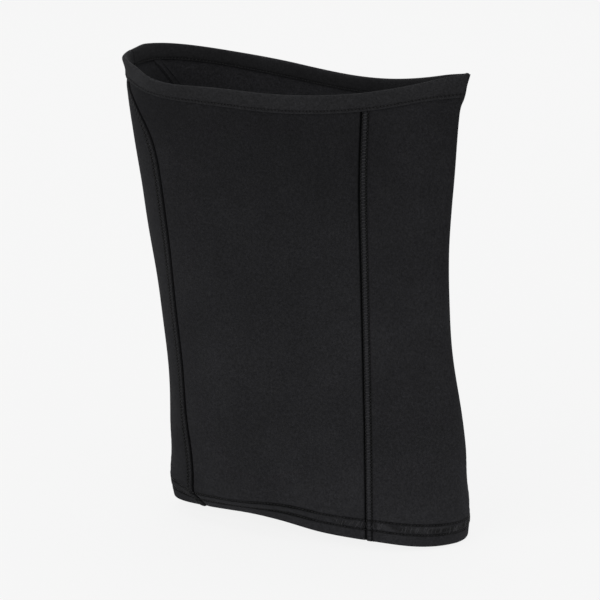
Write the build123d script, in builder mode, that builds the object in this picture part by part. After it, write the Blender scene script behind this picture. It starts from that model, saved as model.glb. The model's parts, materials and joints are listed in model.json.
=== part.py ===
from build123d import *
import math
import os

os.makedirs("parts", exist_ok=True)

# Neck gaiter: a closed fitted tube of four stretch-jersey panels, a bound
# face opening on top and a turned-up hem below. Millimetres.
# +X is the wearer's front, +Y the wearer's left, +Z up. The origin is the
# middle of the neck opening, level with the lowest point of the hem.

# Cross-sections of the tube, from below the hem to above the rim.
LEVELS = (-10, 75, 150, 225, 320)
BACK_REACH = (91, 92, 97, 108, 120)
FRONT_REACH = (112, 110, 100, 100, 112)
HALF_WIDTH = (40.5, 43, 44.5, 46.5, 46.5)
WIDEST_SHARE = (0.42, 0.40, 0.37, 0.32, 0.27)
NOSE_RADIUS = (27, 17, 9, 4.5, 2.6)
NOSE_HALF_ANGLE = (62, 48, 34, 22, 11)
BACK_FULLNESS = (0.60, 0.60, 0.60, 0.65, 0.75)

# How full the side curves are: control arm as a share of the run it shapes.
SHOULDER_ARM = 0.55
CHEEK_ARM = 0.45
TAPER_ARM = 0.40

# Face opening and hem edge, side view: distance forward and height.
RIM_LINE = ((-150, 303.5), (-118, 303.5), (-98, 301.2), (-72, 298), (-35, 295),
            (10, 292.8), (42, 293.6), (64, 296.4), (86, 301.2), (111, 308), (150, 318))
HEM_LINE = ((-150, 5), (-92, 6), (-62, 9), (-28, 11), (2, 9.5),
            (34, 6.5), (66, 5), (111, 0), (150, 0))

# Panel joints, side view: distance forward and height.
BACK_SEAM = ((-63.5, -20), (-64.5, 20), (-70, 90), (-74, 160), (-78, 210),
             (-83, 242), (-90, 265), (-103, 281), (-112, 296), (-116, 330))
FRONT_SEAM = ((60, -20), (59.5, 30), (56, 105), (51, 180), (48, 240), (49, 290), (49.5, 330))

# Cloth, binding and stitching.
CLOTH = 1.0
BINDING_CLOTH = 0.8
BINDING_DEPTH = 10.5
BINDING_STITCH_UP = 1.2
HEM_DEPTH = 16.0
HEM_LOWER_ROW = 7.6
ROW_GAUGE = 6.4
SEAM_ALLOWANCE = 5.5
SEAM_NEAR_ROW = 0.9
SEAM_FAR_ROW = 4.2
THREAD = 0.4
THREAD_SIDES = 6
SEAM_TOP = 283
SEAM_FOOT = 26
SEAM_STEPS = 14
RING_STEPS = 16
RING_START = math.radians(0.2)
RING_END = math.radians(179.6)
RING_CENTRE = -10

# The back of the tube turns away from the side view from here on.
BACK_TURN_END = -135
BACK_TURN_RUN = 45

# Construction lines clear of the tube: behind it, in front of it, above it.
ROOM = 150
REAR_LINE = ((-ROOM, -20), (-ROOM, 155), (-ROOM, 330))
FORE_LINE = ((ROOM, -20), (ROOM, 155), (ROOM, 330))
SKY_LINE = ((-ROOM, 335), (0, 335), (ROOM, 335))
RIGHT = -1
LEFT = 1


def section(z, back, front, width, share, radius, angle, fullness, grow):
    """Outline of the tube at one level, grown outward by grow."""
    lean = math.radians(angle)
    arc_arm = 4 / 3 * math.tan((math.pi / 2 - lean) / 4) * (radius + grow)
    x_back = -back - grow
    x_front = front + grow
    y_side = width + grow
    x_side = -back + share * (back + front)
    x_turn = front - radius + (radius + grow) * math.sin(lean)
    y_turn = (radius + grow) * math.cos(lean)
    taper = TAPER_ARM * (x_turn - x_side)
    x_cheek = x_side + CHEEK_ARM * (x_turn - x_side)
    x_shoulder = x_side - SHOULDER_ARM * (x_side - x_back)
    x_in = x_turn - taper * math.cos(lean)
    y_in = y_turn + taper * math.sin(lean)
    x_out = x_turn + arc_arm * math.cos(lean)
    y_out = y_turn - arc_arm * math.sin(lean)
    with BuildSketch(Plane.XY.offset(z)) as outline:
        with BuildLine():
            for s in (1, -1):
                nape = (x_back, 0)
                shoulder = (x_side, s * y_side)
                turn = (x_turn, s * y_turn)
                Bezier(nape, (x_back, s * fullness * y_side), (x_shoulder, s * y_side), shoulder)
                Bezier(shoulder, (x_cheek, s * y_side), (x_in, s * y_in), turn)
                Bezier(turn, (x_out, s * y_out), (x_front, s * arc_arm), (x_front, 0))
        make_face()
    return outline.sketch.face()


def tube(grow, mode=Mode.ADD):
    """The tube filled solid, its surface grown outward by grow."""
    reaches = (BACK_REACH, FRONT_REACH, HALF_WIDTH, WIDEST_SHARE)
    roundness = (NOSE_RADIUS, NOSE_HALF_ANGLE, BACK_FULLNESS)
    levels = zip(LEVELS, *reaches, *roundness)
    loft([section(*level, grow) for level in levels], mode=mode)


def shell(outer, inner):
    """The layer of the tube between two growths of its surface."""
    with BuildPart() as layer:
        tube(outer)
        tube(inner, Mode.SUBTRACT)
    return layer.part


def between_heights(low, low_up, high, high_up):
    """Side-view face from one height line, raised, to another, raised."""
    with BuildSketch(Plane.XZ) as face:
        with BuildLine():
            Spline([(x, z + low_up) for x, z in low])
            Line((ROOM, low[-1][1] + low_up), (ROOM, high[-1][1] + high_up))
            Spline([(x, z + high_up) for x, z in high])
            Line((-ROOM, low[0][1] + low_up), (-ROOM, high[0][1] + high_up))
        make_face()
    return face.sketch


def beside(line, by):
    """A joint line moved along the cloth; the shift shortens where the back turns away."""
    return [(x + by * min(1, (x - BACK_TURN_END) / BACK_TURN_RUN), z) for x, z in line]


def between_joints(rear, rear_by, fore, fore_by):
    """Side-view face between two joint lines, each moved along the cloth."""
    rear_edge = beside(rear, rear_by)
    fore_edge = beside(fore, fore_by)
    with BuildSketch(Plane.XZ) as face:
        with BuildLine():
            Spline(rear_edge)
            Line(rear_edge[-1], fore_edge[-1])
            Spline(fore_edge)
            Line(rear_edge[0], fore_edge[0])
        make_face()
    return face.sketch


def keep(face, side=0):
    """Keep what lies inside a side-view face: both sides, or the side of one sign of Y."""
    if side == 0:
        extrude(face, amount=ROOM, both=True, mode=Mode.INTERSECT)
    else:
        extrude(face, amount=-side * ROOM, mode=Mode.INTERSECT)


# Side-view faces used more than once.
whole_wall = between_heights(HEM_LINE, 0, RIM_LINE, 0)
back_zone = between_joints(REAR_LINE, 0, BACK_SEAM, 0)
side_zone = between_joints(BACK_SEAM, 0, FRONT_SEAM, 0)
front_zone = between_joints(FRONT_SEAM, 0, FORE_LINE, 0)

# The cloth is doubled in the turned-up hem and in the allowance folded back
# beside each joint. Everywhere else the inner layer is hollowed away.
with BuildPart() as seam_allowances:
    add(extrude(between_joints(BACK_SEAM, -SEAM_ALLOWANCE, BACK_SEAM, 0), amount=ROOM, both=True))
    add(extrude(between_joints(FRONT_SEAM, 0, FRONT_SEAM, SEAM_ALLOWANCE), amount=ROOM, both=True))
    keep(between_heights(HEM_LINE, 0, RIM_LINE, -BINDING_DEPTH))

with BuildPart() as single_layer_hollow:
    tube(-CLOTH)
    keep(between_heights(HEM_LINE, HEM_DEPTH, SKY_LINE, 0))
    add(seam_allowances.part, mode=Mode.SUBTRACT)

wall = shell(0, -2 * CLOTH) - single_layer_hollow.part

# Front panel: nose, chin and chest.
with BuildPart() as front_panel:
    add(wall)
    keep(whole_wall)
    keep(front_zone)
front_panel.part.label = "front panel"
export_step(front_panel.part, "parts/front_panel.step")

# Side panels: the cheeks and sides of the neck.
with BuildPart() as right_side_panel:
    add(wall)
    keep(whole_wall)
    keep(side_zone, RIGHT)
right_side_panel.part.label = "right side panel"
export_step(right_side_panel.part, "parts/right_side_panel.step")

with BuildPart() as left_side_panel:
    add(wall)
    keep(whole_wall)
    keep(side_zone, LEFT)
left_side_panel.part.label = "left side panel"
export_step(left_side_panel.part, "parts/left_side_panel.step")

# Back panel: the nape, narrowing to a tongue under the binding.
with BuildPart() as back_panel:
    add(wall)
    keep(whole_wall)
    keep(back_zone)
back_panel.part.label = "back panel"
export_step(back_panel.part, "parts/back_panel.step")

# Binding: one strip folded over the panels' top edge.
with BuildPart() as face_opening_binding:
    tube(BINDING_CLOTH)
    tube(-CLOTH - BINDING_CLOTH, Mode.SUBTRACT)
    keep(between_heights(RIM_LINE, -BINDING_DEPTH, RIM_LINE, BINDING_CLOTH))
    enclosed_cloth = shell(0, -CLOTH) & extrude(whole_wall, amount=ROOM, both=True, mode=Mode.PRIVATE)
    add(enclosed_cloth, mode=Mode.SUBTRACT)
face_opening_binding.part.label = "face opening binding"
export_step(face_opening_binding.part, "parts/face_opening_binding.step")


def along(line, at):
    """Value of a construction line at one position, between its points."""
    for (a, value_a), (b, value_b) in zip(line, line[1:]):
        if a <= at <= b:
            return value_a + (value_b - value_a) * (at - a) / (b - a)


def guide(lift):
    """The tube's surface that a thread lies on, filled solid."""
    with BuildPart() as body:
        tube(lift)
    return body.part


def reach(body, start, way):
    """Point where a straight way out of the tube leaves its surface."""
    inside = Edge.make_line(start, start + way * 2 * ROOM).intersect(body)[0]
    return max(inside.vertices(), key=lambda v: (Vector(v) - start).length).center()


def thread(points):
    """A thread through points."""
    with BuildPart() as strand:
        with BuildLine() as path:
            Spline(points)
        with BuildSketch(Plane(origin=path.line @ 0, z_dir=path.line % 0)):
            RegularPolygon(radius=THREAD / 2, side_count=THREAD_SIDES)
        sweep(path=path.line)
    return strand.part


def seam_row(body, line, by, side):
    """One row of stitching down a joint, from under the binding to the hem's stitching."""
    points = []
    for step in range(SEAM_STEPS + 1):
        z = SEAM_TOP + (SEAM_FOOT - SEAM_TOP) * step / SEAM_STEPS
        x = along([(height, forward) for forward, height in beside(line, by)], z)
        points.append(reach(body, Vector(x, 0, z), Vector(0, side, 0)))
    return thread(points)


def ring_row(body, line, up):
    """One row of stitching round the tube, a height above a line, as a right and a left half."""
    halves = []
    for side in (RIGHT, LEFT):
        points = []
        for step in range(RING_STEPS + 1):
            turn = RING_START + (RING_END - RING_START) * (step / RING_STEPS) ** 2
            way = Vector(math.cos(turn), side * math.sin(turn), 0)
            near = reach(body, Vector(RING_CENTRE, 0, along(line, 0) + up), way)
            points.append(reach(body, Vector(RING_CENTRE, 0, along(line, near.X) + up), way))
        halves.append(thread(points))
    return halves


# The surfaces that stitching lies on.
cloth_outside = guide(THREAD / 2)
cloth_inside = guide(-2 * CLOTH - THREAD / 2)
binding_outside = guide(BINDING_CLOTH + THREAD / 2)
binding_inside = guide(-CLOTH - BINDING_CLOTH - THREAD / 2)


def seam_threads(line, turn, side):
    """Both needle rows of one joint outside, and the looper rows inside."""
    rows = [turn * SEAM_NEAR_ROW, turn * SEAM_FAR_ROW]
    return [seam_row(body, line, by, side) for body in (cloth_outside, cloth_inside) for by in rows]


# Stitching of the four panel joints.
with BuildPart() as right_front_seam_threads:
    add(seam_threads(FRONT_SEAM, 1, RIGHT))
right_front_seam_threads.part.label = "right front seam threads"
export_step(right_front_seam_threads.part, "parts/right_front_seam_threads.step")

with BuildPart() as left_front_seam_threads:
    add(seam_threads(FRONT_SEAM, 1, LEFT))
left_front_seam_threads.part.label = "left front seam threads"
export_step(left_front_seam_threads.part, "parts/left_front_seam_threads.step")

with BuildPart() as right_back_seam_threads:
    add(seam_threads(BACK_SEAM, -1, RIGHT))
right_back_seam_threads.part.label = "right back seam threads"
export_step(right_back_seam_threads.part, "parts/right_back_seam_threads.step")

with BuildPart() as left_back_seam_threads:
    add(seam_threads(BACK_SEAM, -1, LEFT))
left_back_seam_threads.part.label = "left back seam threads"
export_step(left_back_seam_threads.part, "parts/left_back_seam_threads.step")

# Stitching that holds the binding: a row outside and a row inside.
with BuildPart() as binding_stitching:
    for body in (binding_outside, binding_inside):
        add(ring_row(body, RIM_LINE, BINDING_STITCH_UP - BINDING_DEPTH))
binding_stitching.part.label = "binding stitching"
export_step(binding_stitching.part, "parts/binding_stitching.step")

# Hem stitching: two needle rows outside, the looper rows inside.
with BuildPart() as hem_needle_threads:
    for up in (HEM_LOWER_ROW, HEM_LOWER_ROW + ROW_GAUGE):
        add(ring_row(cloth_outside, HEM_LINE, up))
hem_needle_threads.part.label = "hem needle threads"
export_step(hem_needle_threads.part, "parts/hem_needle_threads.step")

with BuildPart() as hem_looper_thread:
    for up in (HEM_LOWER_ROW, HEM_LOWER_ROW + ROW_GAUGE):
        add(ring_row(cloth_inside, HEM_LINE, up))
hem_looper_thread.part.label = "hem looper thread"
export_step(hem_looper_thread.part, "parts/hem_looper_thread.step")
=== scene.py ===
import json
import math
import bpy
import numpy as np
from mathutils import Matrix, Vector
from mathutils.bvhtree import BVHTree

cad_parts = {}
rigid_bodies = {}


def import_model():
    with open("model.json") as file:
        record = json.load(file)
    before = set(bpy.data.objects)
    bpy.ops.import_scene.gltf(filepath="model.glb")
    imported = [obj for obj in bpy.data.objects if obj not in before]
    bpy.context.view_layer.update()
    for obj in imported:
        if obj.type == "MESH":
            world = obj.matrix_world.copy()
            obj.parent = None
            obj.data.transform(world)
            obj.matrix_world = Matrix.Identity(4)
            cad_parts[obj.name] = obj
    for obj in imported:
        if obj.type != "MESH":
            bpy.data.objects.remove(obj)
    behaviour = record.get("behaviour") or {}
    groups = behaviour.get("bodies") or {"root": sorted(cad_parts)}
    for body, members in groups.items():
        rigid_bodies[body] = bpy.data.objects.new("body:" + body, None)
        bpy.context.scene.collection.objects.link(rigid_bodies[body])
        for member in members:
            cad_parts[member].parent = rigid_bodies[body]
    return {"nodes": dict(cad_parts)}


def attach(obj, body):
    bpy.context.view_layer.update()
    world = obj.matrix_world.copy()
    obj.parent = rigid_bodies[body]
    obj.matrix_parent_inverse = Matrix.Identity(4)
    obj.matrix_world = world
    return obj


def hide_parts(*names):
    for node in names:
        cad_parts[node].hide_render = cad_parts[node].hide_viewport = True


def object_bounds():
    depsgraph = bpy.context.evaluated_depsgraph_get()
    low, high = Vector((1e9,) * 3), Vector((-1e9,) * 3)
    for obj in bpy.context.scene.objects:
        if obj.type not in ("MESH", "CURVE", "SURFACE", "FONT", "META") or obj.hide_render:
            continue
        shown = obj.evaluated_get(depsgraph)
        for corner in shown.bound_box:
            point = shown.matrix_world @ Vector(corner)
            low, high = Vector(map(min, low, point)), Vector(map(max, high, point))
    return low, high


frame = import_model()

# Neck gaiter. Lengths inside the script are millimetres; meshes are written in metres.
bpy.context.view_layer.update()
cad_low, cad_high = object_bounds()
MM = 0.001
RIGHT, LEFT = -1, 1

FRONT, SIDE, BACK = 0, 1, 2

# Stitching and cloth
PITCH = 2.2  # one stitch
NEAR_ROW = 0.95  # rows beside a joint, as distances from it
FAR_ROW = 4.3
LAP_END = 5.6  # width of the allowance folded under beside a joint
HEM_ROWS = (7.6, 14.0)  # rows round the hem, up from its fold
HEM_TOP = 16.2
CLOTH = 1.0
DOUBLING = 0.9  # extra thickness where cloth lies double
BINDING_CLOTH = 0.8
STITCH_LENGTH = 1.62
THREAD_RADIUS = 0.20


# ---------------------------------------------------------------- the CAD wall
def smoothstep(a, b, x):
    t = np.clip((x - a) / (b - a), 0, 1)
    return t * t * (3 - 2 * t)


def bell(x, centre, width):
    return np.exp(-(((x - centre) / width) ** 2))


def panel_tree(names):
    """One search tree over the CAD panels, and which panel each face is on."""
    points, faces, owner = [], [], []
    for k, name in enumerate(names):
        mesh = frame["nodes"][name].data
        start = len(points)
        points += [v.co / MM for v in mesh.vertices]
        for p in mesh.polygons:
            faces.append([start + v for v in p.vertices])
            owner.append(k)
    return BVHTree.FromPolygons(points, faces), owner


PANELS = ("front_panel", "right_side_panel", "back_panel", "left_side_panel")
tree, owner = panel_tree(PANELS)
AXIS_X = -10.0
SPOKES = 1201
RAY = 200
LEVEL_STEP = 4.0
FULL_LOW, FULL_HIGH = 14.0, 292.0  # heights between which the wall goes all the way round
BELOW_HEM, ABOVE_RIM = -3.0, 313.0
levels = np.arange(FULL_LOW, FULL_HIGH + 0.1, LEVEL_STEP)
spoke_angles = -np.linspace(0, math.pi, SPOKES)


def hit(angle, z):
    """Where the wall's outer face is met, coming in towards the axis on the right side."""
    way = Vector((math.cos(angle), math.sin(angle), 0))
    start = Vector((AXIS_X, 0, z)) + way * RAY
    place, _, face, _ = tree.ray_cast(start, -way, RAY - 1)
    return (place.x, -place.y, owner[face]) if place else None


def half_outline(z):
    """Right half of the outline at one height, nose to nape: points, and lengths to both joints."""
    found = [hit(a, z) for a in spoke_angles]
    xy = np.array([(h[0], max(h[1], 0.0)) for h in found])
    who = np.array([h[2] for h in found])
    run = np.concatenate([[0], np.cumsum(np.hypot(*np.diff(xy, axis=0).T))])
    front_end = run[who == FRONT].max()
    back_start = run[who == BACK].min()
    near = np.searchsorted(run, front_end)
    front_end = 0.5 * (run[near] + run[min(near + 1, SPOKES - 1)])
    far = np.searchsorted(run, back_start)
    back_start = 0.5 * (run[far] + run[max(far - 1, 0)])
    return xy, run, front_end, back_start


def smooth_rows(values, passes=6):
    """Evens out facets along the first axis, keeping the ends."""
    out = np.array(values, float)
    for _ in range(passes):
        out[1:-1] = 0.25 * out[:-2] + 0.5 * out[1:-1] + 0.25 * out[2:]
    return out


outlines = [half_outline(z) for z in levels]
front_len = smooth_rows([o[2] for o in outlines], 12)
back_at = smooth_rows([o[3] for o in outlines], 12)
total_len = smooth_rows([o[1][-1] for o in outlines], 12)
zone_ends = (np.zeros_like(front_len), front_len, back_at, total_len)
COLS = 80


def sample_zone(k):
    """Outline points of one zone on an even grid, with one extra point beyond each end."""
    out = np.zeros((len(levels), COLS + 3, 2))
    u = np.arange(-1, COLS + 2) / COLS
    for i, (xy, run, _, _) in enumerate(outlines):
        s = zone_ends[k][i] + u * (zone_ends[k + 1][i] - zone_ends[k][i])
        s_in = np.where(s < 0, -s, np.where(s > run[-1], 2 * run[-1] - s, s))
        flip = np.where((s < 0) | (s > run[-1]), -1.0, 1.0)
        out[i, :, 0] = np.interp(s_in, run, xy[:, 0])
        out[i, :, 1] = np.interp(s_in, run, xy[:, 1]) * flip
    return smooth_rows(out, 8)


zones = [sample_zone(k) for k in (FRONT, SIDE, BACK)]


def cubic_weights(f):
    return (
        -0.5 * f + f**2 - 0.5 * f**3,
        1 - 2.5 * f**2 + 1.5 * f**3,
        0.5 * f + 2 * f**2 - 1.5 * f**3,
        -0.5 * f**2 + 0.5 * f**3,
    )


def wall_xy(zone, u, z):
    """Outer wall's x and distance from the middle plane, for a share across a zone and a height."""
    grid = zones[zone]
    top = len(levels) - 1
    row = (np.asarray(z, float) - levels[0]) / LEVEL_STEP
    inside = np.clip(row, 1, top - 1)
    beyond = row - inside
    ri = np.clip(np.floor(inside).astype(int), 1, top - 2)
    rf = inside - ri
    col = np.asarray(u, float) * COLS + 1
    ci = np.clip(np.floor(col).astype(int), 1, COLS)
    cf = col - ci
    wr, wc = cubic_weights(rf), cubic_weights(cf)

    def across(r):
        return sum(w[..., None] * grid[r, ci + j - 1] for j, w in enumerate(wc))

    value = sum(w[..., None] * across(ri + j - 1) for j, w in enumerate(wr))
    low_slope = across(np.full_like(ri, 3)) - across(np.full_like(ri, 1))
    high_slope = across(np.full_like(ri, top - 1)) - across(np.full_like(ri, top - 3))
    slope = np.where((beyond < 0)[..., None], low_slope, high_slope) / 2
    return value + slope * beyond[..., None]


def edge_line(start, end):
    """Height of the wall's edge against x, found along spokes on the right side."""
    found = []
    for a in -np.linspace(0, math.pi, 241):
        good, bad = start, end
        for _ in range(11):
            mid = 0.5 * (good + bad)
            if hit(a, mid):
                good = mid
            else:
                bad = mid
        found.append((hit(a, good)[0], good))
    found = np.array(sorted(found))
    return found[:, 0], smooth_rows(found[:, 1], 4)


hem_x, hem_z = edge_line(FULL_LOW, BELOW_HEM)
rim_x, rim_z = edge_line(FULL_HIGH, ABOVE_RIM)


def length_at(values, z):
    return np.interp(z, levels, values)


# ---------------------------------------------------------------- a place on the wall
def hem_at(x):
    return np.interp(x, hem_x, hem_z)


def rim_at(x):
    return np.interp(x, rim_x, rim_z)


def share_of(zone, along, z):
    """Turns millimetres from a zone's front end into a share of the zone."""
    ends = length_at(zone_ends[zone], z), length_at(zone_ends[zone + 1], z)
    return along / (ends[1] - ends[0])


def zone_length(zone, z):
    return length_at(zone_ends[zone + 1], z) - length_at(zone_ends[zone], z)


def swell(p):
    """Slow unevenness of the worn-in cloth, out from the wall."""
    x, y, z = p[..., 0], p[..., 1], p[..., 2]
    return (
        0.45 * np.sin(x / 31.0 + z / 47.0 + 0.6)
        + 0.35 * np.sin(z / 23.0 - x / 60.0 + np.sign(y) * 0.9)
        + 0.25 * np.sin((x + y) / 17.0 + z / 29.0)
        + 0.18 * np.sin((x - z) / 12.5)
    )


def wall_run(run, z):
    """Outer wall at a girth length from the nose, right half."""
    f, b, t = (length_at(v, z) for v in (front_len, back_at, total_len))
    zone_of = (run > f).astype(int) + (run > b)
    out = np.zeros(run.shape + (2,))
    for zone, (start, end) in enumerate(((0 * z, f), (f, b), (b, t))):
        m = zone_of == zone
        out[m] = wall_xy(zone, ((run - start) / (end - start))[m], z[m])
    return out


# ---------------------------------------------------------------- the cloth settles
SIM_ROWS = np.linspace(17.0, 286.0, 56)
SIM_HALF = 66
SIM_FRAMES = 40
SIM_CAP = 1.8
TURNS = np.linspace(-math.pi, math.pi, 241)


def tube_grid(rows, half):
    """A coarse tube of the wall: rows up, columns round from the nose by the left side."""
    share = np.linspace(0, 1, half + 1)
    z = rows[:, None] + 0 * share
    xy = wall_run(share * length_at(total_len, z), z)
    left = np.stack([xy[..., 0], xy[..., 1], z], -1)
    left[:, 0, 1] = 0
    left[:, -1, 1] = 0
    right = left[:, -2:0:-1] * (1, -1, 1)
    return np.concatenate([left, right], axis=1)


def settle_tube():
    """Cloth run of the slightly slack tube, held at the binding and the hem: how far each place moves."""
    start = tube_grid(SIM_ROWS, SIM_HALF)
    push = np.stack([start[..., 0] - AXIS_X, start[..., 1] * 2, 0 * start[..., 0]], -1)
    push /= np.linalg.norm(push, axis=-1, keepdims=True)
    begin = start + push * (0.6 * swell(start))[..., None]
    rows, cols = start.shape[:2]
    mesh = bpy.data.meshes.new("settling")
    mesh.from_pydata((begin * MM).reshape(-1, 3).tolist(), [], grid_faces(rows, cols, True).tolist())
    obj = bpy.data.objects.new("settling", mesh)
    bpy.context.scene.collection.objects.link(obj)
    held = obj.vertex_groups.new(name="held")
    ids = np.arange(rows * cols).reshape(rows, cols)
    held.add(ids[[0, 1, -2, -1]].ravel().tolist(), 1.0, "REPLACE")
    cloth_mod = obj.modifiers.new("cloth", "CLOTH")
    c = cloth_mod.settings
    c.quality = 6
    c.mass = 0.12
    c.tension_stiffness = c.compression_stiffness = 12
    c.shear_stiffness = 6
    c.bending_stiffness = 0.6
    c.air_damping = 2
    c.shrink_min = -0.010
    c.vertex_group_mass = "held"
    scene = bpy.context.scene
    cloth_mod.point_cache.frame_start, cloth_mod.point_cache.frame_end = 1, SIM_FRAMES
    for frame_now in range(1, SIM_FRAMES + 1):
        scene.frame_set(frame_now)
    done = obj.evaluated_get(bpy.context.evaluated_depsgraph_get()).to_mesh()
    after = np.zeros(len(done.vertices) * 3, np.float32)
    done.vertices.foreach_get("co", after)
    scene.frame_set(1)
    bpy.data.objects.remove(obj)
    bpy.data.meshes.remove(mesh)
    move = after.reshape(rows, cols, 3) / MM - start
    for _ in range(3):
        move = 0.5 * move + 0.25 * (np.roll(move, 1, 1) + np.roll(move, -1, 1))
        move[1:-1] = 0.25 * move[:-2] + 0.5 * move[1:-1] + 0.25 * move[2:]
    size = np.linalg.norm(move, axis=-1, keepdims=True)
    move *= SIM_CAP * np.tanh(size / SIM_CAP) / np.maximum(size, 1e-6)
    table = np.zeros((rows + 2, len(TURNS), 3))
    for r in range(rows):
        turn = np.unwrap(np.arctan2(start[r, :, 1], start[r, :, 0] - AXIS_X))
        for k in range(3):
            table[r + 1, :, k] = np.interp(TURNS, turn, move[r, :, k], period=2 * math.pi)
    return table


def sag(p):
    """How far the settled cloth lies from the wall, at wall points."""
    if settled is None:
        return 0 * p
    step = SIM_ROWS[1] - SIM_ROWS[0]
    r = np.clip((p[..., 2] - SIM_ROWS[0]) / step + 1, 0, len(settled) - 1.001)
    turn = np.arctan2(p[..., 1], p[..., 0] - AXIS_X) + math.pi
    t = np.clip(turn / (TURNS[1] - TURNS[0]), 0, len(TURNS) - 1.001)
    ri, ti = r.astype(int), t.astype(int)
    rf, tf = (r - ri)[..., None], (t - ti)[..., None]
    rf = rf * rf * (3 - 2 * rf)
    low = settled[ri, ti] * (1 - tf) + settled[ri, ti + 1] * tf
    high = settled[ri + 1, ti] * (1 - tf) + settled[ri + 1, ti + 1] * tf
    return low * (1 - rf) + high * rf


def lean(p):
    """How the soft rim stands away from its cut: drawn in at the nape, turned out at the right, peaked in front."""
    x, y, z = p[..., 0], p[..., 1], p[..., 2]
    right = 0.5 * (1 - np.tanh(y / 10.0))
    out = np.zeros(p.shape)

    # Nape: drawn forward all round, lower on the left, in at its right corner
    out[..., 0] += (1.0 * smoothstep(225, 262, z) - 0.3 * smoothstep(280, 302, z)) * smoothstep(-92, -114, x)
    out[..., 2] -= 1.1 * smoothstep(282, 302, z) * smoothstep(-20, -70, x) * smoothstep(-34, 26, y)
    corner = smoothstep(284, 300, z) * smoothstep(-84, -104, x) * smoothstep(2, -24, y)
    out[..., 0] += 2.7 * corner
    out[..., 1] += 1.6 * corner

    # Cheeks: the left rim sinks, and the right one folds outward behind the cheek
    fold = bell(x, -76, 25) * right
    out[..., 2] -= 2.4 * bell(x, 8, 46) * (1 - right) * smoothstep(262, 296, z)
    out[..., 1] += fold * (1.3 * bell(z, 268, 16) - 2.6 * smoothstep(284, 300, z))
    out[..., 2] -= 2.2 * fold * smoothstep(268, 300, z)

    # Nose: the tip stands forward
    out[..., 0] += (1.7 * smoothstep(281, 296, z) + 1.0 * smoothstep(298, 309, z)) * smoothstep(92, 110, x)
    return out


def settle(p):
    return sag(p) + lean(p)


TURN_FROM = 15.5  # height over the hem's fold at which it turns in
TURN_BEND = 3.0
TURN_START = 0.15
TURN_FADE = 80  # height by which the cloth above is no longer drawn down
SIDE_ANGLE, BACK_EASE = 47, 43  # degrees at the sides, and how much less at the back


def turn_under(x, up):
    """Where the hem turns in: its local angle, and how far the cloth there moves in and down."""
    at_side = 1 - smoothstep(-38, 30, x)
    at_back = 1 - smoothstep(-94, -64, x)
    angle = np.radians(SIDE_ANGLE * at_side - BACK_EASE * at_back)
    t = TURN_FROM - up
    reach = np.sqrt(t**2 + TURN_BEND**2)
    past = 0.5 * (t + reach) - TURN_START
    above = np.clip(up, TURN_FROM, None)
    slack = (TURN_FROM - TURN_START) * (1 - smoothstep(TURN_FROM, TURN_FADE, above))
    down = (slack - past) * (1 - np.cos(angle))
    return angle * 0.5 * (1 + t / reach), past * np.sin(angle), np.clip(down, 0, None)


def tilted(n, rise, x, up):
    """Outward and upward directions after the hem's turn."""
    turn = turn_under(x, up)[0][..., None]
    return n * np.cos(turn) - rise * np.sin(turn), rise * np.cos(turn) + n * np.sin(turn)


def surface(zone, sides, along_of_row, rows_z):
    """A patch of the outer wall. along_of_row gives lengths from the zone's front end, per row."""
    u = share_of(zone, along_of_row, rows_z)
    xy = wall_xy(zone, u, rows_z)
    return np.stack([xy[..., 0], sides * xy[..., 1], rows_z], -1)


def normals_of(p):
    """Outward normals of a grid whose rows go up and whose columns go round to the left."""
    across = np.gradient(p, axis=1)
    up = np.gradient(p, axis=0)
    n = np.cross(across, up)
    return n / np.maximum(np.linalg.norm(n, axis=-1, keepdims=True), 1e-9)


# ---------------------------------------------------------------- meshes
def write_mesh(name, points, faces, uv, painted_light_and_wear):
    """A smooth-shaded object from points and flat positions in millimetres and four-cornered faces."""
    mesh = bpy.data.meshes.new(name)
    faces = np.asarray(faces, np.int32)
    mesh.vertices.add(len(points))
    mesh.vertices.foreach_set("co", (np.asarray(points, np.float32) * MM).ravel())
    mesh.loops.add(faces.size)
    mesh.loops.foreach_set("vertex_index", faces.ravel())
    mesh.polygons.add(len(faces))
    mesh.polygons.foreach_set("loop_start", np.arange(len(faces), dtype=np.int32) * faces.shape[1])
    mesh.update(calc_edges=True)
    mesh.polygons.foreach_set("use_smooth", np.ones(len(faces), bool))
    layer = mesh.uv_layers.new(name="cloth")
    layer.data.foreach_set("uv", (np.asarray(uv, np.float32)[faces.ravel()] * MM).ravel())
    # Painted light and shade, with some wear, kept per point: above 0 painted darker, below 0 painted lighter.
    mark = mesh.attributes.new("painted_light_and_wear", "FLOAT", "POINT")
    mark.data.foreach_set("value", np.asarray(painted_light_and_wear, np.float32))
    mesh.validate()
    obj = bpy.data.objects.new(name, mesh)
    bpy.context.scene.collection.objects.link(obj)
    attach(obj, "root")
    return obj


def grid_faces(rows, cols, wrap=False):
    r = np.arange(rows - 1)[:, None]
    c = np.arange(cols if wrap else cols - 1)[None, :]
    a = r * cols + c
    b = r * cols + (c + 1) % cols
    return np.stack([a, b, b + cols, a + cols], -1).reshape(-1, 4)


INSIDE_PAINTED_LIGHT = -1.0  # the inner face is painted lighter all over, as painted light inside the tube


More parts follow.
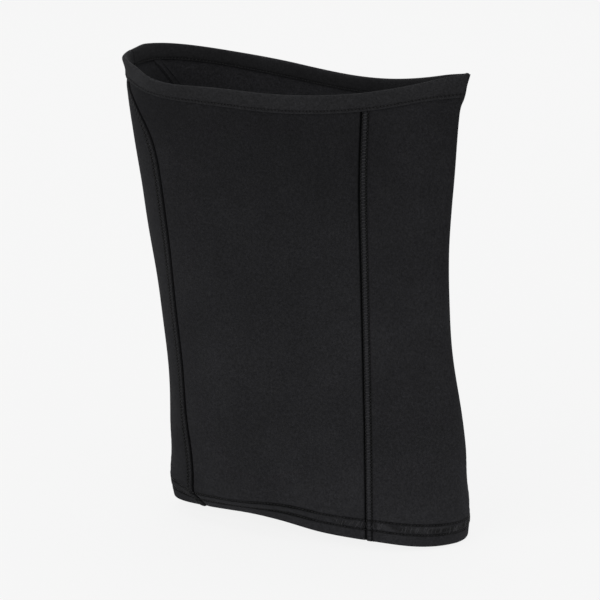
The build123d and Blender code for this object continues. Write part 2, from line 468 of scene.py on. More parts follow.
def shell_object(name, outer, inner, uv, painted_light_and_wear, wrap=False):
    """A closed sheet of cloth from its outer and inner grids; with wrap, the columns go all the way round."""
    rows, cols = outer.shape[:2]
    count = rows * cols
    body = grid_faces(rows, cols, wrap)
    faces = [body, body[:, ::-1] + count]

    def strip(loop):
        a, b = loop[:-1], loop[1:]
        return np.stack([b, a, a + count, b + count], -1)

    ids = np.arange(count).reshape(rows, cols)
    ring = np.concatenate([ids[0], ids[0, :1]]) if wrap else ids[0]
    top = np.concatenate([ids[-1], ids[-1, :1]]) if wrap else ids[-1]
    faces += [strip(ring), strip(top[::-1])]
    if not wrap:
        faces += [strip(ids[::-1, 0]), strip(ids[:, -1])]
    points = np.concatenate([outer.reshape(-1, 3), inner.reshape(-1, 3)])
    flat_uv = np.concatenate([uv.reshape(-1, 2)] * 2)
    # The inner face gets painted light all over.
    painted_marks = np.concatenate([painted_light_and_wear.ravel(), np.full(count, INSIDE_PAINTED_LIGHT)])
    return write_mesh(name, points, np.concatenate(faces), flat_uv, painted_marks)


settled = settle_tube()


# ---------------------------------------------------------------- relief of the cloth
def stitch_beat(run):
    """1 where the needle goes in, 0 in the middle of a stitch."""
    return 0.5 + 0.5 * np.cos(2 * math.pi * run / PITCH)


def lap_relief(d, run):
    """Front and back panels beside a joint: allowance folded under and stitched down in two rows."""
    beat = stitch_beat(run)
    lap = 0.62 * smoothstep(0.1, 0.9, d) * (1 - smoothstep(LAP_END - 1.1, LAP_END + 0.5, d))
    near = -0.30 * bell(d, NEAR_ROW, 0.34) * (0.5 + 0.5 * beat)
    far = -0.62 * bell(d, FAR_ROW, 0.50) * (0.7 + 0.3 * beat)
    rungs = 0.14 * (1 - 2 * beat) * smoothstep(1.0, 1.5, d) * (1 - smoothstep(3.7, 4.2, d))
    joint = -1.30 * bell(d, 0, 0.60)
    return lap + near + far + rungs + joint


def lap_painted_light_and_wear(d, run, rub_and_highlight, far, width):
    """Painted shade along a joint and its stitched rows, up to 1, and the raised strip painted lighter, down to -1,
    as painted highlight and rubbed wear.
    """
    beat = stitch_beat(run)
    strip = smoothstep(1.4, 1.9, d) * (1 - smoothstep(3.4, 3.8, d))
    rows = 0.5 * rub_and_highlight * bell(d, NEAR_ROW, 0.5) + far * bell(d, FAR_ROW, width) * (0.7 + 0.3 * beat)
    return np.clip(1.2 * bell(d, 0, 0.6 + 0.3 * rub_and_highlight) + rows, 0, 1) + strip * (0.75 * beat - 0.55) * rub_and_highlight


def butt_relief(d):
    """Side panels beside a joint: the cloth dips into it."""
    return -0.80 * bell(d, 0, 0.60) - 0.20 * bell(d, 0, 2.2)


HEM_STITCHES = int(round(float(length_at(total_len, 20.0)) / PITCH))


def hem_beat(run, z):
    """stitch_beat for a row that goes round the tube."""
    return stitch_beat(run / length_at(total_len, z) * HEM_STITCHES * PITCH)


def doubled_hem(up):
    """1 where the hem's cloth lies double."""
    return 1 - smoothstep(HEM_TOP - 0.5, HEM_TOP + 0.5, up)


def between_rows(up, near, far):
    """1 between the hem's rows, rising from near to far millimetres past each of them."""
    low, high = HEM_ROWS
    return smoothstep(low + near, low + far, up) * (1 - smoothstep(high - far, high - near, up))


def hem_relief(up, run, x, z):
    """The turned-up hem: doubled cloth, two needle rows, and the pull between them."""
    beat = hem_beat(run, z)
    fold = 0.5 * (1 - smoothstep(HEM_TOP - 1.0, HEM_TOP + 1.6, up))
    rows = sum(-0.62 * bell(up, row, 0.55) * (0.7 + 0.3 * beat) for row in HEM_ROWS)
    pull = (0.10 + 0.20 * smoothstep(35, 75, x)) * pucker(run, up)
    dip = -0.16 * bell(up, HEM_ROWS[1] + 1.3, 1.0)
    return fold + rows + between_rows(up, 0.4, 1.6) * pull + dip


def hem_painted_light_and_shade(up, run, z, x):
    """Painted shade along the hem's rows, most where it turns under, and painted light and shade of the gathers
    between them.
    """
    beat = hem_beat(run, z)
    turned = 1 - smoothstep(0, 42, x)
    width = 0.8 + 0.3 * turned
    rows = sum((1.15 + 0.8 * turned) * bell(up, row, width) * (0.7 + 0.3 * beat) for row in HEM_ROWS)
    return rows - between_rows(up, 0.8, 2) * (0.15 + 0.20 * smoothstep(35, 75, x)) * pucker(run, up)


def pucker(run, up):
    """Slanting gathers between the hem's two rows."""
    wander = 1.1 * np.sin(run / 11.0) + 0.8 * np.sin(run / 4.7 + up)
    return np.sin(2 * math.pi * (run / 2.6 + up / 9.0) + wander) * (0.7 + 0.3 * np.sin(run / 6.3))


def edge_round(up, thick):
    """Draws the outer face in over the last half thickness, so the fold at the hem is round."""
    t = np.clip(up / (0.5 * thick), 0, 1)
    return -0.5 * thick * (1 - np.sqrt(np.clip(1 - (1 - t) ** 2, 0, 1)))


ROW_STEP = 0.66
HEM_SHARE = 0.062
SHARES = np.concatenate([
    [0, 0.0005, 0.0011, 0.0018],
    np.linspace(0.0027, HEM_SHARE, 44),
    np.linspace(HEM_SHARE, 1, int(275 / ROW_STEP))[1:],
])
"""Rows of a patch as shares of its height, closest at the fold and over the hem."""


def row_heights(zone, along_fn):
    """Heights of a patch's points: each column runs from the hem to the rim in equal shares."""
    z = SHARES[:, None] * 295.0 + 8.0
    for _ in range(4):
        along = along_fn(z)
        x = wall_xy(zone, share_of(zone, along, z), z)[..., 0]
        low, high = hem_at(x), rim_at(x) - 0.7
        z = low + SHARES[:, None] * (high - low)
    return z, along_fn(z), low


LAP_STEPS = np.array([
    0, 0.22, 0.45, 0.7, 0.95, 1.2, 1.5, 1.9, 2.3, 2.7, 3.1, 3.5,
    3.8, 4.05, 4.3, 4.55, 4.8, 5.1, 5.5, 6.0, 6.8, 8.0, 9.8,
])
BUTT_STEPS = np.array([0, 0.22, 0.45, 0.7, 1.0, 1.4, 2.0, 3.0, 4.6, 7.0])
MIDDLE_STEP = np.array([0.0])
"""Columns near an end of a patch, as distances from it: over a folded allowance, at a single edge, and at the
middle plane."""


def half_patch(zone, side, steps_start, steps_end, middle, bend=1.0):
    """One side's part of a panel, with columns close together where its joints are: wall points,
    distances from the zone's front end, heights, and the hem's height below each point."""
    inner = np.linspace(0, 1, middle + 2)[1:-1] ** bend
    across_middle = steps_start[-1] * (1 - inner) - steps_end[-1] * inner
    offset = np.concatenate([steps_start, across_middle, -steps_end[::-1]])
    scale = np.concatenate([0 * steps_start, inner, 1 + 0 * steps_end])

    def along(z):
        return offset + scale * zone_length(zone, z)

    z, along_mm, low = row_heights(zone, along)
    p = surface(zone, side, along_mm, z)
    return p, along_mm, z, low


HEM_DRAW, HEM_DRAW_TOP = 1.2, 21.0  # how far the whole hem draws in, and from what height
HEM_SINK = 0.26  # how far the hem drops for each millimetre in


def worn(p, n, lift, up):
    """Moves wall points to where the finished cloth has them, lift out from it."""
    _, inward, down = turn_under(p[..., 0], up)
    inward = inward + HEM_DRAW * np.clip(1 - up / HEM_DRAW_TOP, 0, 1) ** 1.7
    out_way, _ = tilted(n, np.array([0, 0, 1.0]), p[..., 0], up)
    out = p + out_way * np.asarray(lift)[..., None] + n * (swell(p) - inward)[..., None] + settle(p)
    out[..., 2] -= down + HEM_SINK * inward
    return out


def cloth_patch(p, normal, relief, up, doubled):
    """Outer and inner faces of a panel. The inner one shows little of the relief."""
    thick = CLOTH * (1 + DOUBLING * doubled)
    end = edge_round(up, thick)
    outer = worn(p, normal, relief + end, up)
    inner = worn(p, normal, np.minimum(0.25 * relief - thick, relief - 0.45) - end, up)
    return outer, inner


def build_side(name, side):
    """A side panel, of single cloth from joint to joint above its hem."""
    p, along_mm, z, low = half_patch(SIDE, side, BUTT_STEPS, BUTT_STEPS, 58)
    if side == RIGHT:
        p, along_mm, z, low = (a[:, ::-1] for a in (p, along_mm, z, low))
    whole = zone_length(SIDE, z)
    up = z - low
    normal = normals_of(p)
    d = np.minimum(along_mm, whole - along_mm)
    run = along_mm + length_at(front_len, z)
    relief = butt_relief(d) + hem_relief(up, run, p[..., 0], z)
    outer, inner = cloth_patch(p, normal, relief, up, doubled_hem(up))
    uv = np.stack([side * run, z], -1)
    # Painted shade: darker below the binding, most in the middle of the side, and in the joint's groove.
    painted_shade_below_binding = 0.24 * bell(z, 274, 20) * bell(p[..., 0], -8, 46) + 0.10 * bell(z, 235, 40)
    painted_light_and_wear = np.clip(bell(d, 0, 0.7) + hem_painted_light_and_shade(up, run, z, p[..., 0]) + painted_shade_below_binding, -1, 1)
    return shell_object(name, outer, inner, uv, painted_light_and_wear)


def build_middle(name, zone):
    """The front or the back panel, one piece across both sides."""
    halves = []
    for side in (RIGHT, LEFT):
        if zone == FRONT:
            p, along_mm, z, low = half_patch(zone, side, MIDDLE_STEP, LAP_STEPS, 26, 1.25)
            d = zone_length(zone, z) - along_mm
            run = along_mm
        else:
            p, along_mm, z, low = half_patch(zone, side, LAP_STEPS, MIDDLE_STEP, 14)
            d = along_mm
            run = along_mm + length_at(back_at, z)
        halves.append([p, d, z, low, side * run])
    right, left = halves
    if zone == FRONT:
        right = [a[:, ::-1] for a in right]
        left = [a[:, 1:] for a in left]
        parts = [np.concatenate([a, b], axis=1) for a, b in zip(right, left)]
    else:
        right = [a[:, ::-1][:, 1:] for a in right]
        parts = [np.concatenate([b, a], axis=1) for a, b in zip(right, left)]
    p, d, z, low, run = parts
    up = z - low
    normal = normals_of(p)
    relief = lap_relief(d, z) + hem_relief(up, run, p[..., 0], z)
    doubled = np.maximum(doubled_hem(up), 1 - smoothstep(LAP_END - 0.3, LAP_END + 0.3, d))
    outer, inner = cloth_patch(p, normal, relief, up, doubled)
    rub_and_highlight, far, width = (1.0, 1.2, 0.78) if zone == FRONT else (0.2, 2.4, 1.3)
    # Painted shade: the back panel darker towards the bottom.
    low_painted_shade = 0.2 * (1 - smoothstep(40, 150, z)) * (zone == BACK)
    painted_seam_and_hem_shade = lap_painted_light_and_wear(d, z, rub_and_highlight, far, width) + hem_painted_light_and_shade(up, run, z, p[..., 0])
    painted_light_and_wear = np.clip(painted_seam_and_hem_shade + low_painted_shade, -1, 1)
    return shell_object(name, outer, inner, np.stack([run, z], -1), painted_light_and_wear)


"""Width and length of each finished panel laid flat, without its turned hem and seam allowances."""

cloth = {
    "front_panel": build_middle("front_panel_cloth", FRONT),
    "back_panel": build_middle("back_panel_cloth", BACK),
    "right_side_panel": build_side("right_side_panel_cloth", RIGHT),
    "left_side_panel": build_side("left_side_panel_cloth", LEFT),
}
for node, obj in cloth.items():
    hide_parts(node)


# ---------------------------------------------------------------- rings round the tube
def nose_depth(x):
    """The binding is deeper where it goes round the nose."""
    return 1 + 0.26 * smoothstep(78, 108, x)


def ring_places(side, share, drop=None, up=None):
    """Wall points, outward normals and upward directions at shares of the half girth."""
    z = 0 * share + (295.0 if up is None else 12.0)
    for _ in range(5):
        x = wall_run(share * length_at(total_len, z), z)[..., 0]
        z = rim_at(x) - drop * nose_depth(x) if up is None else hem_at(x) + up
    run = share * length_at(total_len, z)
    xy = wall_run(run, z)
    p = np.stack([xy[..., 0], side * xy[..., 1], z], -1)
    du = wall_run(run + 0.3, z) - wall_run(run - 0.3, z)
    dz = wall_run(run, z + 0.5) - wall_run(run, z - 0.5)
    across = np.stack([du[..., 0], side * du[..., 1], 0 * z], -1)
    rise = np.stack([dz[..., 0], side * dz[..., 1], 1 + 0 * z], -1)
    n = np.cross(across, rise) * side
    n /= np.linalg.norm(n, axis=-1, keepdims=True)
    rise /= np.linalg.norm(rise, axis=-1, keepdims=True)
    return p, n, rise


# Binding: one strip folded over the edge. Its outer skin in section, as distance out from the wall
# and distance below the rim.
STRIP = np.array([
    (0.45, 10.95), (0.85, 11.05), (1.18, 10.85), (1.30, 10.40), (1.16, 9.90), (0.90, 9.50), (0.92, 9.10),
    (1.15, 8.50), (1.28, 7.60), (1.34, 6.20), (1.34, 4.60), (1.30, 3.00), (1.22, 1.60), (1.02, 0.50), (0.66, -0.15),
    (0.10, -0.55), (-0.5, -0.68), (-1.10, -0.55), (-1.66, -0.15), (-2.02, 0.50), (-2.22, 1.60), (-2.30, 3.00),
    (-2.34, 4.60), (-2.34, 6.20), (-2.28, 7.60), (-2.15, 8.50), (-1.92, 9.10), (-1.92, 9.40), (-2.10, 9.62),
    (-2.22, 9.86), (-2.12, 10.12), (-1.85, 10.25), (-1.45, 10.15),
])
STITCH_DROP = 9.3  # the binding's row, down from the rim
RIM_STITCHES = int(round(float(length_at(total_len, FULL_HIGH)) / PITCH))
FINE = 4  # columns of the binding's mesh in one stitch


def even_round(loop, passes=70):
    """Evens a closed loop of points, last but one axis running round it."""
    for _ in range(passes):
        loop = 0.5 * loop + 0.25 * (np.roll(loop, 1, -2) + np.roll(loop, -1, -2))
    return loop


def build_binding():
    """The binding in one closed loop, with its stitched groove and the ripple of its lower edges."""
    tangent = np.gradient(STRIP, axis=0)
    tangent /= np.linalg.norm(tangent, axis=1, keepdims=True)
    away = np.stack([-tangent[:, 1], tangent[:, 0]], -1)
    reach = np.concatenate([[0], np.cumsum(np.hypot(*np.diff(STRIP, axis=0).T))])
    outer, inner, uv, painted_light_and_wear = [], [], [], []
    around = []
    for side in (RIGHT, LEFT):
        share = (np.arange(RIM_STITCHES * FINE) + 0.5) / (RIM_STITCHES * FINE)
        if side == LEFT:
            share = share[::-1]
        share = share[None, :] + 0 * STRIP[:, :1]
        drop = STRIP[:, 1:2] + 0 * share
        around.append((side, share, drop, *ring_places(side, share, drop=np.maximum(drop, -0.1))))
    whole = [even_round(np.concatenate([a[k] for a in around], axis=1)) for k in (3, 4, 5)]
    for k, (side, share, drop, *_) in enumerate(around):
        p, n, rise = (a[:, k * share.shape[1] : (k + 1) * share.shape[1]] for a in whole)
        n = n / np.linalg.norm(n, axis=-1, keepdims=True)
        rise = rise / np.linalg.norm(rise, axis=-1, keepdims=True)
        beat = 0.5 + 0.5 * np.cos(2 * math.pi * share * RIM_STITCHES)
        row = bell(drop, STITCH_DROP, 0.5)
        out_side = np.sign(STRIP[:, 0:1] + 0.5)
        groove = -out_side * row * 0.22 * beat
        ripple = out_side * 0.13 * np.sin(share * 290 + 1.6 * np.sin(share * 61)) * smoothstep(8.6, 10.9, drop)
        out = STRIP[:, 0:1] + groove + ripple + swell(p)
        skin = p + settle(p) + n * out[..., None] + rise * (np.maximum(drop, -0.1) - drop)[..., None]
        under = skin - BINDING_CLOTH * (n * away[:, None, 0:1] - rise * away[:, None, 1:2])
        outer.append(skin)
        # Painted light on the outer face of the binding at the right side towards the nape, and painted shade along
        # its stitched row.
        brushed = 0.45 * bell(p[..., 0], -96, 30) * (p[..., 1] < 0) * (out_side > 0)
        painted_light_and_wear.append(np.clip(row * (0.35 + 0.65 * beat) * 0.8, 0, 1) - brushed)
        inner.append(under)
        uv.append(np.stack([side * share * float(length_at(total_len, 300.0)), reach[:, None] + 0 * share], -1))
    outer, inner, uv, painted_light_and_wear = (np.concatenate(a, axis=1) for a in (outer, inner, uv, painted_light_and_wear))
    return shell_object("face_opening_binding_strip", outer, inner, uv, painted_light_and_wear, wrap=True)


binding = build_binding()
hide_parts("face_opening_binding")


# ---------------------------------------------------------------- stitches
RINGS = np.array([(-0.5, 0.30), (-0.44, 0.72), (-0.30, 1.0), (0.30, 1.0), (0.44, 0.72), (0.5, 0.30)])
"""A stitch's outline: places along it and the share of its radius there."""
SIDES = 6
NOSE_SKIP = 3
"""Stitches of the binding left out beside the nose tip, where the fold is too sharp for them."""
SEAM_FROM = {FRONT: 12.5, BACK: 14.0}
"""Height at which a seam's threads start."""
ROW_TOP, CROSS_TOP = 10.2, 10.4
"""How far below the rim a seam's rows and cross threads stop, at the binding."""
BOLD_RADIUS, CROSS_RADIUS = 0.27, 0.17


def one_stitch():
    """Points and faces of a stitch of unit length and radius, with round ends."""
    turn = np.arange(SIDES) * 2 * math.pi / SIDES
    ring = np.stack([0 * turn, np.cos(turn), np.sin(turn)], -1)
    points = np.concatenate([ring * (0, r, r) + (x, 0, 0) for x, r in RINGS])
    faces = grid_faces(len(RINGS), SIDES, True)[:, ::-1].tolist()
    last = SIDES * (len(RINGS) - 1)
    for start, order in ((0, (0, 1, 2, 3)), (0, (0, 3, 4, 5)), (last, (3, 2, 1, 0)), (last, (5, 4, 3, 0))):
        faces.append([start + i for i in order])
    return points, np.array(faces)


def stitch_set(centres, along, out, lengths, radius, tone=0.85):
    """Points, faces and marks of many stitches; along and out are directions at each. The tone is painted shade on
    the thread, or painted highlight where it is below 0.
    """
    shape, faces = one_stitch()
    painted_marks = np.full(len(centres) * len(shape), tone)
    along = along / np.linalg.norm(along, axis=-1, keepdims=True)
    third = np.cross(along, out)
    third /= np.linalg.norm(third, axis=-1, keepdims=True)
    out = np.cross(third, along)
    lengths = np.broadcast_to(lengths, len(centres))
    points = (
        centres[:, None]
        + shape[None, :, 0:1] * lengths[:, None, None] * along[:, None]
        + shape[None, :, 1:2] * radius * third[:, None]
        + shape[None, :, 2:3] * radius * out[:, None]
    )
    ids = np.arange(len(centres))[:, None, None] * len(shape) + faces[None]
    return points.reshape(-1, 3), ids.reshape(-1, 4), painted_marks


def stitch_object(name, sets, nodes):
    """One piece from sets of stitches, in place of the CAD threads."""
    points, faces, painted_marks, start = [], [], [], 0
    for p, f, m in sets:
        points.append(p)
        faces.append(f + start)
        painted_marks.append(m)
        start += len(p)
    points = np.concatenate(points)
    uv = np.stack([points[:, 0] + points[:, 1], points[:, 2]], -1)
    obj = write_mesh(name, points, np.concatenate(faces), uv, np.concatenate(painted_marks))
    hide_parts(*nodes)


def joint_places(zone, side, d, z):
    """Beside a joint, d from it: wall points, normals and directions across and up."""
    def at(dd, zz):
        whole = zone_length(zone, zz)
        u = 1 - dd / whole if zone == FRONT else dd / whole
        xy = wall_xy(zone, u, zz)
        return np.stack([xy[..., 0], side * xy[..., 1], zz + 0 * u], -1)

    p = at(d, z)
    across = at(d + 0.3, z) - at(d - 0.3, z)
    rise = at(d, z + 0.5) - at(d, z - 0.5)
    n = np.cross(across, rise)
    n *= np.sign(np.sum(n * (p - (AXIS_X, 0, 0)) * (1, 1, 0), -1))[..., None]
    n /= np.linalg.norm(n, axis=-1, keepdims=True)
    return p, n, across, rise


def seam_stitches(zone, side):
    """Needle rows and cross threads outside one joint, looper threads inside."""
    first = SEAM_FROM[zone]
    k = np.arange(int((FULL_HIGH - first) / PITCH))
    bottom = first - first % PITCH
    sets = []
    for outside in (True, False):
        for row in (NEAR_ROW, FAR_ROW):
            z = bottom + (k + 0.5) * PITCH
            p, n, _, rise = joint_places(zone, side, row + 0 * z, z)
            up = z - hem_at(p[:, 0])
            keep = (z < rim_at(p[:, 0]) - ROW_TOP) & (up > 0.8)
            relief = lap_relief(row + 0 * z, z)
            lift = relief + 0.16 if outside else relief - 2 * CLOTH - 0.12
            c = worn(p, n, lift, up)
            out, rise = tilted(n, rise, p[:, 0], up)
            bold = BOLD_RADIUS if zone == BACK and row == FAR_ROW else THREAD_RADIUS
            # The rows' stitches get painted shade, at their darkest.
            sets.append(stitch_set(c[keep], rise[keep], out[keep], STITCH_LENGTH, bold, tone=1.0))
        z = bottom + k * PITCH
        if not outside:
            z = np.concatenate([z, z + PITCH / 2])
        mid = 0.5 * (NEAR_ROW + FAR_ROW)
        p, n, across, rise = joint_places(zone, side, mid + 0 * z, z)
        up = z - hem_at(p[:, 0])
        keep = (z < rim_at(p[:, 0]) - CROSS_TOP) & (up > 0.8)
        relief = lap_relief(mid + 0 * z, z)
        lift = relief + 0.07 if outside else relief - 2 * CLOTH - 0.05
        c = worn(p, n, lift, up)
        n, rise = tilted(n, rise, p[:, 0], up)
        slant = 0.16 if outside else 0.5
        run = across / np.linalg.norm(across, axis=-1, keepdims=True) + slant * rise
        # The cross threads get painted highlight on the front seam and barely any painted shade on the back one.
        long, tone = (FAR_ROW - NEAR_ROW - 0.5, -0.9) if zone == FRONT else (1.9, 0.1)
        sets.append(stitch_set(c[keep], run[keep], n[keep], long, CROSS_RADIUS, tone=tone))
    return sets


def ring_stitches(rows, number, length, radius, lift, drop=False, cross=None):
    """Rows of stitches round the tube, up from the hem or, with drop, down from the rim. With cross, each
    stitch goes up the cloth and leans that much along it."""
    sets = []
    share = (np.arange(number) + 0.5) / number
    for side in (RIGHT, LEFT):
        for row in rows:
            where = {"drop": row + 0 * share} if drop else {"up": row + 0 * share}
            p, n, rise = ring_places(side, share, **where)
            along = np.cross(rise, n)
            up = where.get("up", 300 + 0 * share)
            c = worn(p, n, lift + 0 * share, up)
            n, rise = tilted(n, rise, p[:, 0], up)
            way = along if cross is None else cross * along + rise
            keep = np.arange(number) >= (NOSE_SKIP if drop else 0)
            sets.append(stitch_set(c[keep], way[keep], n[keep], length, radius))
    return sets


def hem_gathers():
    """Slanting pulls of thread between the hem's rows at the front, where the cloth gathers most."""
    rng = np.random.default_rng(5)
    number = 2 * HEM_STITCHES
    sets = []
    for side in (RIGHT, LEFT):
        share = (np.arange(number) + 0.5 + rng.uniform(-0.22, 0.22, number)) / number
        up = 10.8 + rng.uniform(-0.7, 0.7, number)
        p, n, rise = ring_places(side, share, up=up)
        strong = smoothstep(20, 62, p[:, 0])
        keep = rng.uniform(0, 1, number) < strong
        c = worn(p, n, 0.56 + 0 * share, up)
        n, rise = tilted(n, rise, p[:, 0], up)
        along = np.cross(rise, n)
        way = along * (0.42 + rng.uniform(-0.15, 0.15, number))[:, None] + rise
        lengths = (3.4 + rng.uniform(-0.9, 1.4, number)) * (0.6 + 0.4 * strong)
        # Painted light and shade on the gathers: about half the pulls painted dark, the rest painted light.
        in_painted_shade = rng.uniform(0, 1, number) < 0.56
        for which, tone in ((keep & in_painted_shade, 1.0), (keep & ~in_painted_shade, -0.75)):
            sets.append(stitch_set(c[which], way[which], n[which], lengths[which], 0.19, tone=tone))
    return sets


for place, zone in (("front", FRONT), ("back", BACK)):
    for hand, side in (("right", RIGHT), ("left", LEFT)):
        seam = hand + "_" + place + "_seam"
        stitch_object(seam + "_stitches", seam_stitches(zone, side), [seam + "_threads"])

stitch_object(
    "binding_stitches",
    ring_stitches([STITCH_DROP], RIM_STITCHES, STITCH_LENGTH, 0.19, 1.02, drop=True)
    + ring_stitches([STITCH_DROP], RIM_STITCHES, STITCH_LENGTH, 0.19, -2.05, drop=True),
    ["binding_stitching"],
)
stitch_object(
    "hem_needle_stitches",
    ring_stitches(HEM_ROWS, HEM_STITCHES, STITCH_LENGTH, THREAD_RADIUS, 0.22) + hem_gathers(),
    ["hem_needle_threads"],
)
HEM_MIDDLE = 0.5 * sum(HEM_ROWS)
LOOPER_LENGTH = HEM_ROWS[1] - HEM_ROWS[0] - 0.6
stitch_object(
    "hem_looper_stitches",
    ring_stitches(HEM_ROWS, HEM_STITCHES, 1.7, THREAD_RADIUS, -1.95)
    + ring_stitches([HEM_MIDDLE], 2 * HEM_STITCHES, LOOPER_LENGTH, 0.16, -1.55, cross=0.35),
    ["hem_looper_thread"],
)


# ---------------------------------------------------------------- materials
class Nodes:
    """Short calls for building a material's nodes."""

    def __init__(self, name):
        self.mat = bpy.data.materials.new(name)
        self.mat.use_nodes = True
        self.tree = self.mat.node_tree
        self.shader = self.tree.nodes["Principled BSDF"]

    def put(self, socket, value):
        if isinstance(value, bpy.types.NodeSocket):
            self.tree.links.new(value, socket)
        else:
            socket.default_value = value

    def add(self, kind, out=0, settings=(), **inputs):
        node = self.tree.nodes.new("ShaderNode" + kind)
        for key, value in settings:
            setattr(node, key, value)
        for key, value in inputs.items():
            self.put(node.inputs[key.replace("_", " ")], value)
        return node.outputs[out]

    def math(self, operation, a, b=0.0):
        node = self.tree.nodes.new("ShaderNodeMath")
        node.operation = operation
        self.put(node.inputs[0], a)
        self.put(node.inputs[1], b)
        return node.outputs[0]

    def remap(self, value, from_low, from_high, to_low, to_high):
        names = ("From Min", "From Max", "To Min", "To Max")
        node = self.tree.nodes.new("ShaderNodeMapRange")
        self.put(node.inputs["Value"], value)
        for key, number in zip(names, (from_low, from_high, to_low, to_high)):
            node.inputs[key].default_value = number
        return node.outputs[0]

    def noise(self, place, scale, detail=3.0, rough=0.55):
        return self.add("TexNoise", Vector=place, Scale=scale, Detail=detail, Roughness=rough)

    def paint(self, colour, tone):
        """Base colour: colour times a tone that varies over the piece."""
        scaled = self.tree.nodes.new("ShaderNodeVectorMath")
        scaled.operation = "SCALE"
        scaled.inputs[0].default_value = colour
        self.put(scaled.inputs["Scale"], tone)
        self.put(self.shader.inputs["Base Color"], scaled.outputs[0])


def jersey(name, colour, wale, course, brushed, low_painted_shade, high_painted_shade):
    """Brushed knitted jersey: wales and courses of loops under a short pile, with painted light and shade from its
    point marks and painted shade by height.
    """
    n = Nodes(name)
    place = n.add("TexCoord", 3)
    cloth_uv = n.add("UVMap", settings=[("uv_map", "cloth")])
    parts = n.tree.nodes.new("ShaderNodeSeparateXYZ")
    n.put(parts.inputs[0], cloth_uv)
    wobble = n.math("MULTIPLY", n.noise(place, 260.0), 0.0007)
    u = n.math("ADD", parts.outputs[0], wobble)
    v = n.math("ADD", parts.outputs[1], wobble)
    rib = n.math("SINE", n.math("MULTIPLY", u, 2 * math.pi / wale))
    slope = n.math("ABSOLUTE", n.math("SINE", n.math("MULTIPLY", u, math.pi / wale)))
    chevron = n.math("ADD", v, n.math("MULTIPLY", slope, 0.7 * course))
    loop = n.math("SINE", n.math("MULTIPLY", chevron, 2 * math.pi / course))
    knit = n.math("ADD", n.math("MULTIPLY", rib, 0.5), n.math("MULTIPLY", loop, 0.5))

    pile = n.noise(place, 1400.0, 4.0, 0.7)
    tufts = n.noise(place, 620.0, 3.0, 0.6)
    patches = n.noise(place, 17.0, 2.0, 0.5)
    clouds = n.noise(place, 60.0, 3.0, 0.55)
    height_of = n.tree.nodes.new("ShaderNodeSeparateXYZ")
    n.put(height_of.inputs[0], place)
    # Painted shade by height: lighter towards the hem, darker towards the rim, by the two end factors.
    rise = n.remap(height_of.outputs[2], 0.02, 0.275, low_painted_shade, high_painted_shade)

    tone = n.math("MULTIPLY", n.remap(pile, 0.3, 0.7, 0.60, 1.40), n.remap(tufts, 0.3, 0.7, 0.72, 1.28))
    tone = n.math("MULTIPLY", tone, n.remap(patches, 0.3, 0.7, 0.86, 1.14))
    tone = n.math("MULTIPLY", tone, n.remap(clouds, 0.3, 0.7, 0.95, 1.05))
    tone = n.math("MULTIPLY", tone, n.remap(knit, -1.0, 1.0, 0.90, 1.06))
    tone = n.math("MULTIPLY", tone, rise)
    painted_light_and_wear = n.add("Attribute", 2, settings=[("attribute_name", "painted_light_and_wear")])
    # Painted shade where the marks are above 0, painted light where they are below 0.
    tone = n.math("MULTIPLY", tone, n.remap(painted_light_and_wear, 0.0, 1.0, 1.0, 0.12))
    tone = n.math("MULTIPLY", tone, n.remap(painted_light_and_wear, -1.0, 0.0, 1.9, 1.0))
    n.paint(colour, tone)

    rough = n.math("ADD", n.remap(tufts, 0.3, 0.7, 0.80, 0.94), n.math("MULTIPLY", painted_light_and_wear, -0.12))
    n.put(n.shader.inputs["Roughness"], rough)
    n.shader.inputs["IOR"].default_value = 1.12
    n.shader.inputs["Sheen Weight"].default_value = 0.01
    n.shader.inputs["Sheen Roughness"].default_value = 0.55
    n.shader.inputs["Sheen Tint"].default_value = (0.85, 0.87, 0.95, 1)
    knit_bump = n.add("Bump", Height=knit, Distance=0.00007, Strength=0.6)
    pile_bump = n.add("Bump", Height=pile, Distance=brushed, Strength=0.8, Normal=knit_bump)
    tuft_bump = n.add("Bump", Height=tufts, Distance=0.00022, Strength=0.5, Normal=pile_bump)
    n.put(n.shader.inputs["Normal"], tuft_bump)
    return n.mat


def sewing_thread(name):
    """Spun polyester thread: plies wound round it under a fine fuzz."""
    n = Nodes(name)
    place = n.add("TexCoord", 3)
    diagonal = [("bands_direction", "DIAGONAL")]
    plies = n.add("TexWave", 1, diagonal, Vector=place, Scale=620.0, Distortion=1.5, Detail=1.0)
    fuzz = n.noise(place, 3200.0, 3.0, 0.6)
    painted_light_and_wear = n.add("Attribute", 2, settings=[("attribute_name", "painted_light_and_wear")])
    tone = n.math("MULTIPLY", n.remap(plies, 0.0, 1.0, 0.7, 1.2), n.remap(fuzz, 0.3, 0.7, 0.8, 1.2))
    # Painted shade on the threads where their marks are high, painted highlight where they are low.
    tone = n.math("MULTIPLY", tone, n.remap(painted_light_and_wear, -1.0, 1.0, 2.0, 0.1))
    n.paint((0.0125, 0.0125, 0.0135), tone)
    n.put(n.shader.inputs["Roughness"], n.remap(fuzz, 0.3, 0.7, 0.46, 0.62))
    n.shader.inputs["Specular IOR Level"].default_value = 0.22
    n.shader.inputs["Sheen Weight"].default_value = 0.02
    ply_bump = n.add("Bump", Height=plies, Distance=0.00006, Strength=0.8)
    n.put(n.shader.inputs["Normal"], n.add("Bump", Height=fuzz, Distance=0.00004, Strength=0.6, Normal=ply_bump))
    return n.mat


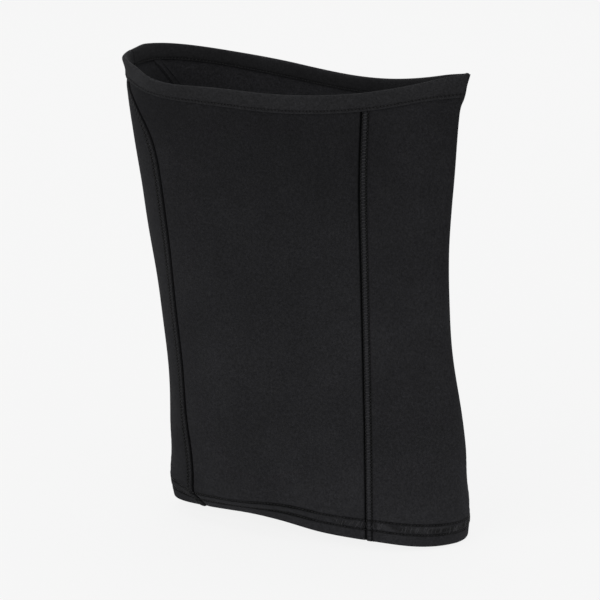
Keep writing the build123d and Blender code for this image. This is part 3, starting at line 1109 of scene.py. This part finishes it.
looks = {
    "jersey": jersey("brushed_jersey", (0.0112, 0.0112, 0.0122), 0.00085, 0.00062, 0.00016, 1.22, 0.85),
    "binding_jersey": jersey("binding_jersey", (0.0122, 0.0122, 0.0130), 0.00080, 0.00060, 0.00013, 1.0, 1.0),
    "thread": sewing_thread("black_thread"),
}
for o in bpy.data.objects:
    if o.type == "MESH" and not o.hide_render:
        kind = "thread" if "stitches" in o.name else "binding_jersey" if "binding" in o.name else "jersey"
        o.data.materials.clear()
        o.data.materials.append(looks[kind])


# ---------------------------------------------------------------- stage
SKY = 0.913
PAPER_LIT = 0.055  # what the paper reflects of the world and the lamps
world = bpy.data.worlds.new("studio")
bpy.context.scene.world = world
world.use_nodes = True
world.node_tree.nodes["Background"].inputs["Color"].default_value = (SKY, SKY, SKY, 1)
world.node_tree.nodes["Background"].inputs["Strength"].default_value = 1.0
bpy.context.scene.view_settings.view_transform = "Standard"

paper = Nodes("pale_paper")
grain = paper.noise(paper.add("TexCoord", 3), 300.0)
paper.put(paper.shader.inputs["Base Color"], (0.05, 0.05, 0.05, 1))
paper.put(paper.shader.inputs["Roughness"], paper.remap(grain, 0.3, 0.7, 0.9, 1.0))
paper.shader.inputs["Specular IOR Level"].default_value = 0.0
paper.put(paper.shader.inputs["Emission Color"], (1, 1, 1, 1))
paper.put(paper.shader.inputs["Emission Strength"], SKY - PAPER_LIT)
floor_mesh = bpy.data.meshes.new("floor")
floor_mesh.from_pydata([(-6, -6, 0), (6, -6, 0), (6, 6, 0), (-6, 6, 0)], [], [(0, 1, 2, 3)])
floor = bpy.data.objects.new("floor", floor_mesh)
floor.location.z = cad_low.z - 0.001
floor_mesh.materials.append(paper.mat)
bpy.context.scene.collection.objects.link(floor)

centre = (cad_low + cad_high) / 2


def direction(azimuth, elevation):
    """Unit direction from the object, azimuth in degrees from its right side towards its front."""
    a, e = math.radians(azimuth), math.radians(elevation)
    return Vector((math.sin(a) * math.cos(e), -math.cos(a) * math.cos(e), math.sin(e)))


def soft_light(name, azimuth, elevation, distance, size, power):
    way = direction(azimuth, elevation)
    data = bpy.data.lights.new(name, "AREA")
    data.shape = "SQUARE"
    data.size = size
    data.energy = power
    obj = bpy.data.objects.new(name, data)
    obj.location = centre + way * distance
    obj.rotation_mode = "QUATERNION"
    obj.rotation_quaternion = way.to_track_quat("Z", "Y")
    bpy.context.scene.collection.objects.link(obj)


soft_light("key", -25, 30, 1.5, 1.1, 8)
soft_light("fill", 65, 6, 1.5, 1.2, 6)
soft_light("top", 0, 88, 1.5, 1.0, 5)
soft_light("rear", 200, 30, 1.6, 1.2, 6)

# ---------------------------------------------------------------- camera
VIEW_AZ, VIEW_EL = 21.0, 16.8
DISTANCE = 2.5
VIEW_WIDTH = 0.387
SENSOR = 36.0
AIM_HEIGHT = 0.1525
FRAME_SIZE, AIM_X, AIM_Y = 600, 302.0, 293.3  # where the aim shows in the picture, in its pixels
back = direction(VIEW_AZ, VIEW_EL)
cam_data = bpy.data.cameras.new("camera")
cam_data.sensor_width = SENSOR
cam_data.lens = SENSOR * DISTANCE / VIEW_WIDTH
cam_data.clip_start, cam_data.clip_end = 0.1, 50
camera = bpy.data.objects.new("camera", cam_data)
aim = Vector((0, 0, AIM_HEIGHT))
camera.location = aim + back * DISTANCE
camera.rotation_mode = "QUATERNION"
camera.rotation_quaternion = (-back).to_track_quat("-Z", "Y")
cam_data.shift_x = (FRAME_SIZE / 2 - AIM_X) / FRAME_SIZE
cam_data.shift_y = (AIM_Y - FRAME_SIZE / 2) / FRAME_SIZE
bpy.context.scene.collection.objects.link(camera)
bpy.context.scene.camera = camera
